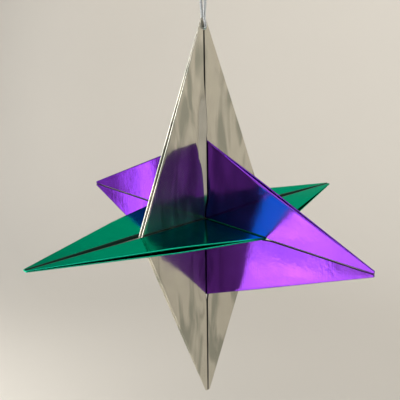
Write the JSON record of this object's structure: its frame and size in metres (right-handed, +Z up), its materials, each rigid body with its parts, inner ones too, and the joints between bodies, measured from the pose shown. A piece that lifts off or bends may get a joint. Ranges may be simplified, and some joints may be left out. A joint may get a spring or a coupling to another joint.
{
  "type": "modular origami star",
  "caption": "Hanging star of crossed rhombus plates, each made of folded mirror paper halves laid fold to fold, with a doubled metallic cord through the upper tip",
  "frame": {"origin": "middle of the star, where the three plates cross", "axes": "+Z up along the silver plate, X along the purple plate, Y along the green plate"},
  "size_m": [0.2122, 0.2122, 0.2271],
  "materials": {
    "silver_mirror_paper": "mirror foil",
    "purple_mirror_paper": "mirror foil",
    "green_mirror_paper": "mirror foil",
    "metallic_cord": "metallic thread"
  },
  "bodies": {
    "root": {"silver_left_half": "silver_mirror_paper", "silver_right_half": "silver_mirror_paper", "purple_upper_half": "purple_mirror_paper", "purple_lower_half": "purple_mirror_paper", "green_front_half": "green_mirror_paper", "green_back_half": "green_mirror_paper", "hanging_cord": "metallic_cord", "cord_knot": "metallic_cord"}
  },
  "joints": []
}
